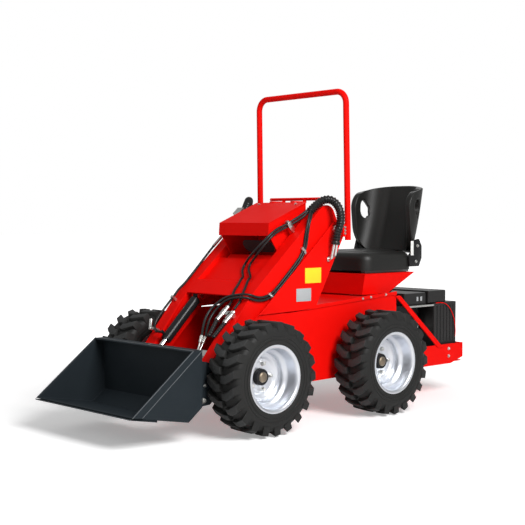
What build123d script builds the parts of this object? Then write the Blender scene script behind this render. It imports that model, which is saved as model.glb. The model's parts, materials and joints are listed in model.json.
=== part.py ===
from build123d import *
import math
import os

# Mini loader with a driver's seat, four driven wheels, one radial boom and a bucket.
# Millimetres. The machine faces -Y, its left side is +X, and Z is up from the ground.
# Inside the script Y = 0 lies midway between the axles. Every piece is moved by plan_shift
# at the end, so that the origin is on the ground under the middle of the overall length.
plan_shift = -88.0

# Running gaps
gap_run = 0.5            # between faces that turn or slide on each other
pin_play = 2.0           # between an eye and the lugs beside it
lug_t = 10.0             # lugs and cheeks around pins
sheet = 6.0              # folded panels
plate = 8.0              # welded plates

# Wheels
wheel_base = 915.0
track_half = 471.0       # to the middle of a tyre
tyre_r = 292.0           # over the lugs' corners
lug_top_r = 288.0        # over the lugs' flat tops, at their middle
lug_root_r = 232.0
tyre_half_w = 105.0
tread_r = 268.0          # between the lugs
lug_count = 21           # on each side of the tread
lug_gap = 4.0            # from the middle of the tread to the lugs' inner ends
rim_r = 154.0
flange_r = 170.0
rim_half_w = 97.0
rim_wall = 5.0
disc_inset = 23.0        # wheel disc, inboard of the tyre's middle
disc_t = 8.0
dish = 14.0              # the disc's outer ring stands this far outboard of its middle
rim_drop = 27.0          # the rim's inside steps down by this beside the disc
rim_play = 1.0           # between the rim and the tyre's bead
hub_hole_r = 43.0
stud_circle_r = 70.0
hub_r = 42.5
hub_len = 34.0
motor_flange_r = 62.0
motor_r = 48.0
motor_len = 14.0         # drum of the wheel motor inboard of the side plate's outer face

# Chassis
side_x = 312.0           # inner face of the side plates
nose_reach = 82.5        # chassis ahead of the front axle
front_y = -wheel_base / 2 - nose_reach
belly_z = 196.0
belly_rise = 24.0        # the belly climbs towards the rear
deck_front_z = 588.0     # underside of the deck lip at the tower's foot
deck_rear_z = 640.0
deck_rear_y = 700.0
lip_h = 20.0
deck_front_y = 128.0
side_rear_y = 760.0
tail_y = 1408.0

# Boom and its pivot
pivot_y = 228.0
pivot_z = 1030.0
boom_slope = 41.1        # degrees, resting
boom_top_y = -64.0       # a point of the boom's top plane
boom_top_z = 965.0
arm_x_out = 300.0
arm_w = 80.0
arm_wall = 8.0
pan_drop = 26.0
boom_knee_u = -425.0     # where the arms bend down towards the bucket
pan_low_u = -322.0       # the recess between the arms, from here
pan_high_u = -115.0      # to here
pin_r = 16.0
hinge_y = -750.0         # pin between boom and bucket
hinge_z = 190.0
arm_end_r = 38.0
ear_x = 340.0            # bolted ears beside the arms' lower ends
ear_t = 10.0

# Cylinders: pins in side view, bores and eyes
tilt_x = -165.0
tilt_cap = (-345.0, 667.0)
tilt_eye = (-711.4, 303.7)
tilt_barrel_r = 28.0
tilt_barrel_len = 323.0
tilt_rod_r = 15.0
tilt_stroke = 173.0
lift_x = 260.0
lift_cap = (-60.0, 300.0)
lift_eye_u = -10.0
lift_eye_v = -232.0
lift_barrel_r = 30.0
lift_barrel_len = 395.0
lift_rod_r = 16.0
lift_stroke = 248.0
eye_r = 26.0
eye_w = 36.0
cyl_pin_r = 12.0

# Hoses
hose_r = 6.5
hose_pitch = 15.0        # between two hoses that lie side by side
sleeve_r = 24.0          # the corrugated sleeve round each bundle, beside the boom's pivot
sleeve_split_x = 322.0   # where the sleeve passes from the machine to the boom
sleeve_gap = 5.0
clamp_t = 12.0
coupler_r = 12.0

# Bucket
bucket_half = 410.0
bucket_t = 7.0
lip_y = -1224.0
lip_z = 168.0
heel_y = -885.0
heel_z = 107.0
back_y = -800.0
back_low_z = 171.0
back_top_z = 452.0
brow_y = -859.0

# Roll hoop
hoop_r = 17.0
hoop_half = 351.0
hoop_y = 285.0
hoop_top_z = 1796.0
hoop_bend = 85.0
hoop_foot_z = 971.0


def prism(points, x0, x1):
    """Plate standing in the Y-Z plane from x0 to x1."""
    face = make_face(Polyline(*points, close=True))
    return extrude(Plane.YZ.offset(x0) * face, x1 - x0)


def rod(start, end, radius):
    """Round bar between two points."""
    a, b = Vector(*start), Vector(*end)
    plane = Plane(origin=a, z_dir=(b - a).normalized())
    return extrude(plane * Circle(radius), (b - a).length)


def pair(shape):
    """A piece and its mirror image on the other side."""
    return shape + mirror(shape, about=Plane.YZ)


def box(x0, x1, y0, y1, z0, z1):
    return Pos((x0 + x1) / 2, (y0 + y1) / 2, (z0 + z1) / 2) * Box(x1 - x0, y1 - y0, z1 - z0)


def boom_point(u, v):
    """Side-view point: u up along the resting boom, v square to its top plane."""
    a = math.radians(boom_slope)
    y = boom_top_y + u * math.cos(a) - v * math.sin(a)
    z = boom_top_z + u * math.sin(a) + v * math.cos(a)
    return (y, z)


nodes = {}


# Wheels: one tyre and one rim, drawn about the X axis, then placed four times
def turned(ring):
    """Solid turned about X from (across, radius) corners, one flat for each half pitch of the lugs."""
    flats = 2 * lug_count
    rows = []
    for i in range(flats):
        turn = 2 * math.pi * (i + 0.5) / flats
        rows.append([(x, -r * math.sin(turn), r * math.cos(turn)) for x, r in ring])
    faces = []
    for i in range(flats):
        a, b = rows[i], rows[i - 1]
        for j in range(len(ring)):
            k = (j + 1) % len(ring)
            faces.append(make_face(Polyline(a[j], a[k], b[k], b[j], close=True)))
    return Solid(Shell(faces))


def tyre_shape():
    w, bead_r = tyre_half_w, rim_r + rim_play
    side = [(rim_half_w - 13, bead_r), (w - 4, flange_r + 8), (w, lug_root_r), (w - 22, tread_r)]
    carcass = turned(side + [(-x, r) for x, r in reversed(side)])
    # One lug seen from outside the tread: (across, along) corners of a slanted bar
    lug_plan = ((lug_gap, -10), (w - 0.5, 22), (w - 0.5, 50), (lug_gap, 12))
    lug = extrude(Plane.XY.offset(lug_root_r + 4) * make_face(Polyline(*lug_plan, close=True)), lug_top_r - lug_root_r - 4)
    shoulder = Plane.XZ * make_face(Polyline((w - 14, tyre_r + 9), (w + 9, tyre_r + 9), (w + 9, 250), close=True))
    lug -= Pos(0, 80, 0) * extrude(shoulder, 160)
    lugs = []
    step = 360.0 / lug_count
    for i in range(lug_count):
        lugs.append(Rot(i * step, 0, 0) * lug)
        lugs.append(Rot((i + 0.5) * step, 0, 0) * mirror(lug, about=Plane.YZ))
    return carcass + lugs


def rim_shape():
    """Flanges and barrel with the dished disc inside, in one section."""
    r, f, w, t = rim_r, flange_r, rim_half_w, rim_wall
    face_x, drop_r = -disc_inset, rim_r - rim_drop
    outside = [(-w, f), (-w + 8, r), (w - 8, r), (w, f)]
    inside = [(w, f - 2 * t), (26, r - t), (11, drop_r), (face_x + dish, drop_r), (face_x + dish, 104), (face_x, 88),
              (face_x, hub_hole_r), (face_x - disc_t, hub_hole_r), (face_x - disc_t, 92),
              (face_x + dish - disc_t, 108), (face_x + dish - disc_t, drop_r), (-41, drop_r), (-53, r - t),
              (-w, f - 2 * t)]
    return turned(outside + inside)


def hub_shape():
    """Turning hub of the wheel motor, with its clamp flange behind the disc."""
    face_x = -disc_inset
    hub = Pos(face_x - disc_t, 0, 0) * extrude(Plane.YZ * Circle(hub_r), hub_len)
    flange = Pos(face_x - disc_t - 10, 0, 0) * extrude(Plane.YZ * Circle(stud_circle_r + 14), 10)
    return hub + flange


def motor_shape():
    """Fixed wheel motor: flange on the side plate, neck outwards, body inwards."""
    side = side_x + plate
    neck_end = track_half - disc_inset - disc_t - 10 - gap_run
    neck = Pos(side, 0, 0) * extrude(Plane.YZ * Circle(motor_flange_r - 14), neck_end - side)
    flange = Pos(side, 0, 0) * extrude(Plane.YZ * Rectangle(116, 116), 14)
    body = Pos(side - motor_len, 0, 0) * extrude(Plane.YZ * Circle(motor_r), motor_len)
    return neck + flange + body


tyre, rim, hub, motor = tyre_shape(), rim_shape(), hub_shape(), motor_shape()
# name, side, end
corners = (("front_left", 1, -1), ("front_right", -1, -1), ("rear_left", 1, 1), ("rear_right", -1, 1))
for name, side, end in corners:
    for kind, shape in (("tyre", tyre), ("rim", rim), ("hub", hub)):
        shape = shape if side > 0 else mirror(shape, about=Plane.YZ)
        nodes[kind + "_" + name] = Pos(side * track_half, end * wheel_base / 2, tyre_r) * shape
motors = [Pos(0, end * wheel_base / 2, tyre_r) * motor for end in (-1, 1)]


# Chassis
def deck_z(y):
    """Underside of the deck lip, which climbs towards the rear."""
    foot_y = -114.0
    return deck_front_z + (deck_rear_z - deck_front_z) * (y - foot_y) / (deck_rear_y - foot_y)


def belly(y):
    return belly_z + belly_rise * (y - front_y) / (tail_y - front_y)


motor_bore = [Pos(side_x - 1, end * wheel_base / 2, tyre_r)
              * extrude(Plane.YZ * Circle(motor_r + 1), plate + 2) for end in (-1, 1)]
side_outline = [(front_y, belly(front_y)), (side_rear_y, belly(side_rear_y)), (side_rear_y, deck_z(side_rear_y)),
                (-114, deck_z(-114)), (-346, deck_z(-114)), (front_y, 420)]
side_plate = prism(side_outline, side_x, side_x + plate) - motor_bore
floor_plate = box(-side_x, side_x, front_y + 40, 760, belly_z + 20, belly_z + 20 + plate)
nose = box(-side_x, side_x, front_y + 40, front_y + 40 + plate, belly_z + 20 + plate, 250)
bulkhead = box(-side_x, side_x, 560, 560 + plate, belly_z + 20 + plate, deck_z(560))
core_tray = box(-side_x, side_x, -150, deck_front_y, deck_z(-150) - plate, deck_z(-150))
core_tray -= pair(box(lift_x - 42, lift_x + 42, -130, deck_front_y + 1, deck_z(-150) - 20, deck_z(-150) + 20))
nodes["chassis_frame"] = pair(side_plate) + floor_plate + nose + bulkhead + core_tray
nodes["wheel_motors"] = pair(motors[0] + motors[1])

# Tower side plates: the front edge follows the resting boom, the rear edge leans back
tower_x = side_x + plate
tower_outline = [(-346, deck_z(-114)), (82, 952), (215, 1068), (262, 1082), (300, 1062), (306, 1012),
                 (81, deck_z(81) + lip_h), (81, deck_z(81))]
tower = prism(tower_outline, tower_x, tower_x + plate)
tower -= Pos(side_x, pivot_y, pivot_z) * extrude(Plane.YZ * Circle(pin_r + gap_run), 3 * plate)
nodes["tower_left"] = tower
nodes["tower_right"] = mirror(tower, about=Plane.YZ)

# Deck: sloping foot plate with a raised lip on each side
deck_outline = [(deck_front_y, deck_z(deck_front_y)), (deck_rear_y, deck_z(deck_rear_y)),
                (deck_rear_y, deck_z(deck_rear_y) + sheet), (deck_front_y, deck_z(deck_front_y) + sheet)]
lip_outline = [(81 + 1, deck_z(82)), (side_rear_y, deck_z(side_rear_y)),
               (side_rear_y, deck_z(side_rear_y) + lip_h), (81 + 1, deck_z(82) + lip_h)]
deck = prism(deck_outline, -tower_x, tower_x) + pair(prism(lip_outline, tower_x, tower_x + sheet))
nodes["deck"] = deck

# Console: a folded hood on two walls, between the boom's arms
hood_half = 205.0
hood_top = (127.0, 1183.0)
hood_fold = (-160.0, 1067.0)
hood_lip = (-165.0, 997.0)
hood_rear_y = 150.0
core_half = 199.0


hood_outline = [hood_top, hood_fold, hood_lip, (hood_lip[0] + sheet, hood_lip[1]),
                (hood_fold[0] + sheet, hood_fold[1] - 4), (hood_top[0], hood_top[1] - sheet - 0.5)]
hood = prism(hood_outline, -hood_half, hood_half)
nodes["console_hood"] = hood
core_top = [boom_point(-60, -45), boom_point(-100, -45), boom_point(-100, -85)]
core_foot_z = deck_z(-150)
core_outline = [(hood_top[0], hood_top[1] - sheet - 2), (hood_fold[0] + sheet + 1, hood_fold[1] - 6),
                (hood_lip[0] + sheet + 1, hood_lip[1] + 10), core_top[0], core_top[1], core_top[2],
                (-150, core_foot_z), (hood_top[0], core_foot_z)]
inner = [(hood_top[0] - sheet, hood_top[1] + 60), (hood_fold[0] - 60, hood_fold[1] + 60),
         (hood_lip[0] - 60, hood_lip[1] - 60),
         boom_point(-60, -45 - sheet), boom_point(-100 + sheet, -45 - sheet), boom_point(-100 + sheet, -85),
         (-150 + sheet, core_foot_z - 1), (hood_top[0] - sheet, core_foot_z - 1)]
core = prism(core_outline, -core_half, core_half) - prism(inner, -core_half + sheet, core_half - sheet)
nodes["console_core"] = core

pivot_pin = rod((core_half + 0.5, pivot_y, pivot_z), (tower_x + plate + 12, pivot_y, pivot_z), pin_r)
pivot_pin += rod((tower_x + plate, pivot_y, pivot_z), (tower_x + plate + 12, pivot_y, pivot_z), pin_r + 10)
nodes["boom_pivot_pins"] = pair(pivot_pin)

# Grab bar across the console's rear edge, on two flat brackets
bar_y, bar_z, bar_r, bar_half = 236.0, 1201.0, 9.0, 198.0
bracket_half = 10.0
handle = rod((-bar_half, bar_y, bar_z), (bar_half, bar_y, bar_z), bar_r)
for x in (-85, 85):
    handle += box(x - bracket_half, x + bracket_half, hood_top[0], bar_y, hood_top[1] - 4, hood_top[1] + sheet)
    handle += box(x - bracket_half, x + bracket_half, bar_y - bar_r, bar_y, hood_top[1] - 4, bar_z)
nodes["grab_bar"] = handle

# Roll hoop
hoop_foot_half = hoop_half + 4
hoop_path = FilletPolyline((hoop_foot_half, hoop_y + 16, hoop_foot_z), (hoop_half, hoop_y, hoop_top_z),
                           (-hoop_half, hoop_y, hoop_top_z), (-hoop_foot_half, hoop_y + 16, hoop_foot_z),
                           radius=hoop_bend - hoop_r)
hoop = sweep(Plane(origin=hoop_path @ 0, z_dir=hoop_path % 0) * Circle(hoop_r), path=hoop_path)
hoop_clamp = box(tower_x + plate, hoop_half + 4, 262, 292, 990, 1060)
nodes["roll_hoop"] = hoop + pair(hoop_clamp)


def lug_places(x):
    """Inboard faces of the two lugs beside an eye at x."""
    return (x - eye_w / 2 - pin_play - lug_t, x + eye_w / 2 + pin_play)


# Boom
def boom_side():
    """Side outline of one arm, from the pivot to the bucket pin."""
    knee_top = boom_point(boom_knee_u, 0)
    knee_low = boom_point(-330, -130)
    corner = boom_point(280, -65)
    upper = make_hull((Pos(pivot_y, pivot_z) * Circle(62)).edges() + (Pos(*corner) * Circle(65)).edges()
                      + Line(knee_top, knee_low).edges())
    lower = make_hull((Pos(hinge_y, hinge_z) * Circle(arm_end_r)).edges() + Line(knee_top, knee_low).edges())
    return upper + lower


side_face = boom_side()
arm_in = arm_x_out - arm_w
arm = extrude(Plane.YZ.offset(arm_in) * side_face, arm_w)
hollow = offset(side_face, amount=-arm_wall)
arm -= extrude(Plane.YZ.offset(arm_in + arm_wall) * hollow, arm_w - 2 * arm_wall)
for y, z, r in ((pivot_y, pivot_z, 30), (hinge_y, hinge_z, 26)):
    arm += extrude(Plane.YZ.offset(arm_in) * (Pos(y, z) * Circle(r)), arm_w)
for y, z in ((pivot_y, pivot_z), (hinge_y, hinge_z)):
    arm -= extrude(Plane.YZ.offset(arm_in - 1) * (Pos(y, z) * Circle(pin_r + gap_run)), arm_w + 2)
lift_eye = boom_point(lift_eye_u, lift_eye_v)
lug_face = make_hull((Pos(*lift_eye) * Circle(24)).edges() + Line(boom_point(-60, -165), boom_point(50, -172)).edges())
for x in lug_places(lift_x):
    lug = extrude(Plane.YZ.offset(x) * lug_face, lug_t)
    lug -= extrude(Plane.YZ.offset(x - 1) * (Pos(*lift_eye) * Circle(cyl_pin_r)), lug_t + 2)
    arm += lug
nodes["boom_arm_left"] = arm
nodes["boom_arm_right"] = mirror(arm, about=Plane.YZ)

pan_points = [boom_point(boom_knee_u, 0), boom_point(pan_low_u, 0), boom_point(pan_low_u + 30, -pan_drop),
              boom_point(pan_high_u, -pan_drop), boom_point(pan_high_u, -pan_drop - arm_wall),
              boom_point(pan_low_u + 30, -pan_drop - arm_wall), boom_point(pan_low_u, -arm_wall),
              boom_point(boom_knee_u, -arm_wall)]
cross = prism(pan_points, -arm_in, arm_in)
tube_at = boom_point(-285, -82)
cross += extrude(Plane.YZ.offset(-arm_in) * (Pos(*tube_at) * Circle(34)), 2 * arm_in)
cross -= extrude(Plane.YZ.offset(-arm_in) * (Pos(*tube_at) * Circle(26)), 2 * arm_in)
cap_face = make_hull((Pos(*tilt_cap) * Circle(24)).edges()
                     + Line(boom_point(-400, -arm_wall), boom_point(-340, -arm_wall)).edges()
                     + (Pos(*tube_at) * Circle(14)).edges())
for x in lug_places(tilt_x):
    lug = extrude(Plane.YZ.offset(x) * cap_face, lug_t)
    lug -= extrude(Plane.YZ.offset(x - 1) * (Pos(*tilt_cap) * Circle(cyl_pin_r)), lug_t + 2)
    cross += lug
nodes["boom_cross_plate"] = cross


# Cylinders
def eye_bar(start, end, radius, eye_at, half):
    """Round bar with an eye across it at eye_at, bored for its pin."""
    bar = rod(start, end, radius)
    x = eye_at[0]
    ring = extrude(Plane.YZ.offset(x - half) * (Pos(eye_at[1], eye_at[2]) * Circle(eye_r - 2)), 2 * half)
    bore = extrude(Plane.YZ.offset(x - half - 1) * (Pos(eye_at[1], eye_at[2]) * Circle(cyl_pin_r + gap_run)), 2 * half + 2)
    return bar + ring - bore


def cylinder_pair(x, cap, eye, barrel_r, barrel_len, rod_r, stroke):
    """Barrel hinged at cap and rod with its eye, lying along the line between the two pins."""
    cap3, eye3 = Vector(x, *cap), Vector(x, *eye)
    along = (eye3 - cap3).normalized()
    end = cap3 + along * barrel_len
    start = cap3 + along * (eye_r + 5)
    barrel = rod(tuple(start), tuple(end), barrel_r)
    barrel += eye_bar(tuple(cap3 + along * cyl_pin_r), tuple(start + along), eye_w / 2 - 2, (x, *cap), eye_w / 2)
    inside = stroke + 40
    bore = rod(tuple(end - along * (inside + 20)), tuple(end + along), rod_r + gap_run)
    inner_rod = eye_bar(tuple(end - along * inside), tuple(eye3 - along * (eye_r - 8)), rod_r, (x, *eye), eye_w / 2)
    return barrel - bore, inner_rod


def pin(x, at, half):
    return extrude(Plane.YZ.offset(x - half) * (Pos(*at) * Circle(cyl_pin_r)), 2 * half)


tilt_barrel, tilt_rod = cylinder_pair(tilt_x, tilt_cap, tilt_eye, tilt_barrel_r, tilt_barrel_len, tilt_rod_r,
                                      tilt_stroke)
lift_barrel, lift_rod = cylinder_pair(lift_x, lift_cap, lift_eye, lift_barrel_r, lift_barrel_len, lift_rod_r,
                                      lift_stroke)
nodes["tilt_rod"] = tilt_rod
nodes["lift_barrel_left"] = lift_barrel
nodes["lift_barrel_right"] = mirror(lift_barrel, about=Plane.YZ)
nodes["lift_rod_left"] = lift_rod
nodes["lift_rod_right"] = mirror(lift_rod, about=Plane.YZ)


def pin_ends(x, at):
    """The pin's two ends beside an eye, each in its lug: the eye's own travel stays free."""
    whole = pin(x, at, eye_w / 2 + pin_play + lug_t + 4)
    return whole - box(x - eye_w / 2 - pin_play, x + eye_w / 2 + pin_play, at[0] - 40, at[0] + 40, at[1] - 40, at[1] + 40)


nodes["boom_cylinder_pins"] = pin(tilt_x, tilt_cap, eye_w / 2 + pin_play + lug_t) + pair(pin_ends(lift_x, lift_eye))
lift_foot = prism([(lift_cap[0] - 50, belly_z + 20 + plate), (lift_cap[0] + 50, belly_z + 20 + plate),
                   (lift_cap[0] + 22, lift_cap[1] + 15), (lift_cap[0] - 22, lift_cap[1] + 15)],
                  lift_x - eye_w / 2 - 12, lift_x - eye_w / 2 - 2)
lift_foot += extrude(Plane.YZ.offset(lift_x - eye_w / 2 - 12) * (Pos(*lift_cap) * Circle(cyl_pin_r)),
                     side_x - (lift_x - eye_w / 2 - 12))
nodes["lift_feet"] = pair(lift_foot)

# Hoses: runs joined by arcs as large as the runs allow
def tube(points, radius, name=None):
    """Round tube along a route of points."""
    spots = [Vector(*point) for point in points]
    radii = []
    for a, b, c in zip(spots, spots[1:], spots[2:]):
        turn = (b - a).get_angle(c - b)
        radii.append(0.45 * min((b - a).length, (c - b).length) / math.tan(math.radians(turn / 2)))
    path = FilletPolyline(*points, radius=radii)
    if name:
        print(name, "arc radii", [round(r) for r in radii])
    return sweep(Plane(origin=path @ 0, z_dir=path % 0) * Circle(radius), path=path)


def on_boom(x, u, v):
    return (x, *boom_point(u, v))


def on_front(x, t, n):
    """Point t down the arms' lower front face from the knee and n out from it."""
    knee, hinge = Vector(*boom_point(boom_knee_u, 0)), Vector(hinge_y, hinge_z)
    line = hinge - knee
    slope = math.atan2(line.Y, line.X) - math.asin(arm_end_r / line.length)
    down, out = Vector(math.cos(slope), math.sin(slope)), Vector(math.sin(slope), -math.cos(slope))
    spot = knee + down * t + out * n
    return (x, spot.X, spot.Y)


# Sleeve beside the hoop's leg: one bent tube, cut where the boom's side begins
sleeve_route = ((366, 188, 948), (371, 192, 1003), (386, 212, 1070), (376, 214, 1148), (332, 186, 1202),
                (287, 135, 1183), (268, 92, 1133))
sleeve = tube(sleeve_route, sleeve_r, "sleeve")
boom_side_space = box(0, sleeve_split_x, -500, 500, 900, 1400)
cuff = sleeve & boom_side_space
nodes["hose_sleeves"] = pair(sleeve - box(0, sleeve_split_x + sleeve_gap, -500, 500, 900, 1400))
nodes["boom_hose_cuffs"] = pair(cuff)

# Two elbows carry each sleeve on the tower's outer face
elbow_r, elbow_reach = 8.0, 26.0
elbows = []
for y, z, lean_y in ((166, 868, 10), (196, 884, 2)):
    wall_x = tower_x + plate
    route = ((wall_x, y, z), (wall_x + elbow_reach, y, z), (sleeve_route[0][0], y + lean_y, sleeve_route[0][2] - 0.3))
    elbows.append(tube(route, elbow_r))
    elbows.append(rod((wall_x, y, z), (wall_x + 9, y, z), elbow_r + 5))
nodes["hose_elbows"] = pair(Part() + elbows - sleeve)


def boom_block(x0, x1, u0, u1, v0, v1):
    """Block square to the boom's top plane."""
    return prism([boom_point(u0, v0), boom_point(u1, v0), boom_point(u1, v1), boom_point(u0, v1)], x0, x1)


def front_block(x0, x1, t0, t1, n0, n1):
    """Block square to the arms' lower front face."""
    return prism([on_front(0, t, n)[1:] for t, n in ((t0, n0), (t1, n0), (t1, n1), (t0, n1))], x0, x1)


# Left pair over the hood's lower corner and down onto the pan, to the two couplers
top_routes = {
    "inner": [(257, 226, 34), (247, 170, 40), (237, 112, 54), (227, 62, 66), (220, 4, 88), (220, -58, 98), (196, -112, 88),
              (142, -148, 58), (74, -158, 14), (36, -176, -16), (50, -216, -19), (84, -250, -19), (116, -280, -10),
              (138, -308, 9), (150, -348, 7.5), (154, -388, 8), (172, -430, 7), (198, -466, 6)],
    "outer": [(257, 226, 19), (246, 168, 24), (237, 110, 39), (227, 60, 51), (220, 2, 73), (220, -56, 83), (202, -106, 73),
              (162, -138, 44), (104, -150, 4), (70, -170, -19), (98, -212, -19), (142, -250, -19), (176, -280, -10),
              (196, -308, 9), (212, -346, 7.5), (229, -386, 8), (244, -426, 8), (256, -464, 2)],
}
coupler_top = {"inner": (212, 88, 23), "outer": (262, 99, 19)}
coupler_low = {"inner": (212, 188, 41), "outer": (262, 190, 28)}
boot_end = {"inner": (216, 290, 38), "outer": (258, 293, 37)}
top_hoses, couplers = [], []
for key in ("inner", "outer"):
    route = [on_boom(*point) for point in top_routes[key]] + [on_front(*coupler_top[key])]
    top_hoses.append(tube(route, hose_r, "top hose " + key))
    head, tail, cap = on_front(*coupler_top[key]), on_front(*coupler_low[key]), on_front(*boot_end[key])
    along = Vector(*tail) - Vector(*head)
    couplers.append(rod(head, tail, coupler_r))
    couplers.append(rod(tuple(Vector(*head) + along * 0.3), tuple(Vector(*head) + along * 0.62), coupler_r + 3))
    couplers.append(rod(tail, cap, coupler_r - 2))
couplers = Part() + couplers
top_hoses = Part() + top_hoses - cuff - couplers
nodes["boom_hoses_top"] = top_hoses
nodes["couplers"] = couplers

# Left pair down the arm's outer side, over the knee and on to a port block between the arms
side_routes = {
    "upper": [(279, 226, 34), (298, 178, 27), (308, 130, 8), (308, 84, -22), (308, 36, -62), (308, -18, -84),
              (308, -76, -88), (308, -140, -90), (308, -200, -91), (308, -262, -91), (308, -316, -86), (308, -362, -64),
              (308, -398, -30), (308, -420, 8), (280, -436, 28), (240, -446, 30), (196, -452, 28), (152, -468, 22),
              (118, -500, 16), (100, -550, 12), (104, -606, 4), (124, -660, -8), (146, -704, -20)],
    "lower": [(279, 226, 19), (300, 182, 14), (309, 142, 2), (308, 98, -31), (308, 46, -75), (308, -16, -99),
              (308, -76, -103), (308, -140, -105), (308, -202, -106), (308, -266, -106), (308, -324, -100),
              (308, -374, -76), (308, -414, -38), (308, -440, 4), (284, -455, 24), (240, -463, 26), (198, -469, 22),
              (160, -484, 14), (134, -512, 4), (118, -556, -4), (121, -606, -12), (140, -656, -23), (161, -700, -34)],
}
port_t0, port_t1 = 350.0, 384.0
side_hoses, ferrules = [], []
for key, x in (("upper", 150), ("lower", 166)):
    route = [on_boom(*point) for point in side_routes[key]]
    side_hoses.append(tube(route, hose_r, "side hose " + key))
    start, end = Vector(*route[-1]), Vector(*on_front(x, port_t0 + 4, 0))
    middle = start + (end - start) * 0.45
    ferrules.append(rod(tuple(start), tuple(middle), hose_r + 2.5))
    ferrules.append(rod(tuple(middle), tuple(end), hose_r - 1.5))
side_hoses = Part() + side_hoses - cuff
ferrules = Part() + ferrules
port_block = front_block(136, arm_in, port_t0, port_t1, -24, 0) - ferrules
nodes["boom_hoses_side"] = side_hoses - ferrules

# Right hose along the arm's outer edge, over the knee and across to the tilt cylinder's gland
far_block = boom_block(-300, -250, 170, 222, 6, 58) - mirror(cuff, about=Plane.YZ)
far_upper = [(-288, 172, 32), (-297, 126, 20), (-304, 78, 11), (-306, 34, 10)]
far_lower = [(-306, -62, 10), (-304, -118, 8.5), (-299, -180, 7.6), (-292, -246, 8.2), (-288, -312, 7.5), (-283, -372, 9),
             (-280, -424, 16)]
far_front = [(-272, 44, 22), (-264, 104, 34), (-260, 166, 42), (-262, 222, 42), (-258, 262, 37)]
gland_port_x, gland_port_at, gland_port_rise = 221.5, 308.0, 46.0
tilt_along = (Vector(0, *tilt_eye) - Vector(0, *tilt_cap)).normalized()
tilt_out = Vector(0, tilt_along.Z, -tilt_along.Y)
port_foot = Vector(tilt_x, *tilt_cap) + tilt_along * gland_port_at
port_top = port_foot + tilt_out * gland_port_rise
port_end = (-gland_port_x, port_top.Y, port_top.Z)
far_hose = tube([on_boom(*point) for point in far_upper], hose_r, "right hose, upper")
far_end = (port_end[0] - gap_run, port_end[1], port_end[2])
far_hose += tube([on_boom(*point) for point in far_lower] + [on_front(*point) for point in far_front] + [far_end],
                 hose_r, "right hose, lower")
swage = rod(on_boom(*far_upper[-1]), on_boom(*far_lower[0]), hose_r + 2.5)
far_hose -= box(port_end[0] - gap_run, 0, port_end[1] - 60, port_end[1] + 60, port_end[2] - 60, port_end[2] + 60)
nodes["boom_hose_right"] = far_hose - far_block - swage
gland_port = rod(tuple(port_foot + tilt_out * (tilt_barrel_r - 6)), tuple(port_top + tilt_out * (hose_r + 2)), hose_r + 2)
gland_port += rod(tuple(port_top), port_end, hose_r + 1)
nodes["tilt_barrel"] = tilt_barrel + gland_port

# Clamps and fittings that carry the hoses on the boom
clamp_out = 314.8        # outer face of the side clamps, clear of the tower
clamps = [boom_block(218, 242, 72, 86, 40, 78), boom_block(224, 240, 74, 84, 0, 40),
          boom_block(arm_x_out, clamp_out, 8, 22, -100, -54), boom_block(arm_x_out, clamp_out, -330, -316, -112, -72),
          front_block(198, 276, 122, 144, 0, 34), front_block(-282, -262, 52, 66, 0, 34), port_block, far_block, swage,
          ferrules]
clamps = Part() + clamps
for piece in (top_hoses, side_hoses, couplers, far_hose):
    clamps -= piece
nodes["hose_clamps"] = clamps

# Bucket: folded shell, side plates and cutting edge
t = bucket_t
shell_outer = [(lip_y, lip_z), (heel_y, heel_z), (back_y, back_low_z), (back_y, back_top_z), (brow_y, back_top_z)]
slope = math.atan2(lip_z - heel_z, heel_y - lip_y)
shell = prism(shell_outer, -bucket_half, bucket_half) - prism(
    [(brow_y - 200, back_top_z - t), (back_y - t, back_top_z - t), (back_y - t, back_low_z + t * 0.6),
     (heel_y - t * 0.1, heel_z + t), (lip_y - 60, lip_z + t + 60 * math.tan(slope) - 2)],
    -bucket_half + t, bucket_half - t)
nodes["bucket_shell"] = shell
edge = prism([(lip_y - 8, lip_z - 8), (lip_y - 8, lip_z - 2), (heel_y - 190, heel_z + 190 * math.tan(slope)),
              (heel_y - 190, heel_z + 190 * math.tan(slope) - 9)], -bucket_half, bucket_half)
band_w, band_t = 42.0, 4.0
band = prism([(lip_y, lip_z), (brow_y, back_top_z), (brow_y + band_w * 1.4, back_top_z), (lip_y + band_w * 1.4, lip_z - 6)],
             bucket_half, bucket_half + band_t)
nodes["bucket_edge"] = edge + pair(band)

# Hitch: cheeks on the bucket's back, a pair for each arm, and a lug pair for the tilt rod
cheek_face = make_hull((Pos(hinge_y, hinge_z) * Circle(34)).edges()
                       + Line((back_y, 175), (back_y, 330)).edges())
hitch = []
for x in (arm_x_out + 3, arm_in - 3 - 10):
    cheek = extrude(Plane.YZ.offset(x) * cheek_face, 10)
    cheek -= extrude(Plane.YZ.offset(x - 1) * (Pos(hinge_y, hinge_z) * Circle(pin_r)), 12)
    hitch.append(cheek)
    hitch.append(mirror(cheek, about=Plane.YZ))
tilt_face = make_hull((Pos(*tilt_eye) * Circle(24)).edges() + Line((back_y, 230), (back_y, 400)).edges())
for x in lug_places(tilt_x):
    lug = extrude(Plane.YZ.offset(x) * tilt_face, lug_t)
    lug -= extrude(Plane.YZ.offset(x - 1) * (Pos(*tilt_eye) * Circle(cyl_pin_r)), lug_t + 2)
    hitch.append(lug)
ear = prism([(back_y, 160), (-700, 166), (-660, 200), (-640, 260), (-652, 330), (-690, 372), (back_y, 400)], ear_x, ear_x + ear_t)
ear -= extrude(Plane.YZ.offset(ear_x - 1) * (Pos(hinge_y, hinge_z) * Circle(pin_r)), ear_t + 2)
hitch += [ear, mirror(ear, about=Plane.YZ)]
nodes["hitch_cheeks"] = Part() + hitch
hinge_pin = rod((arm_in - 16, hinge_y, hinge_z), (ear_x + ear_t, hinge_y, hinge_z), pin_r)
nodes["bucket_pins"] = pair(hinge_pin) + pin_ends(tilt_x, tilt_eye)

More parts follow.
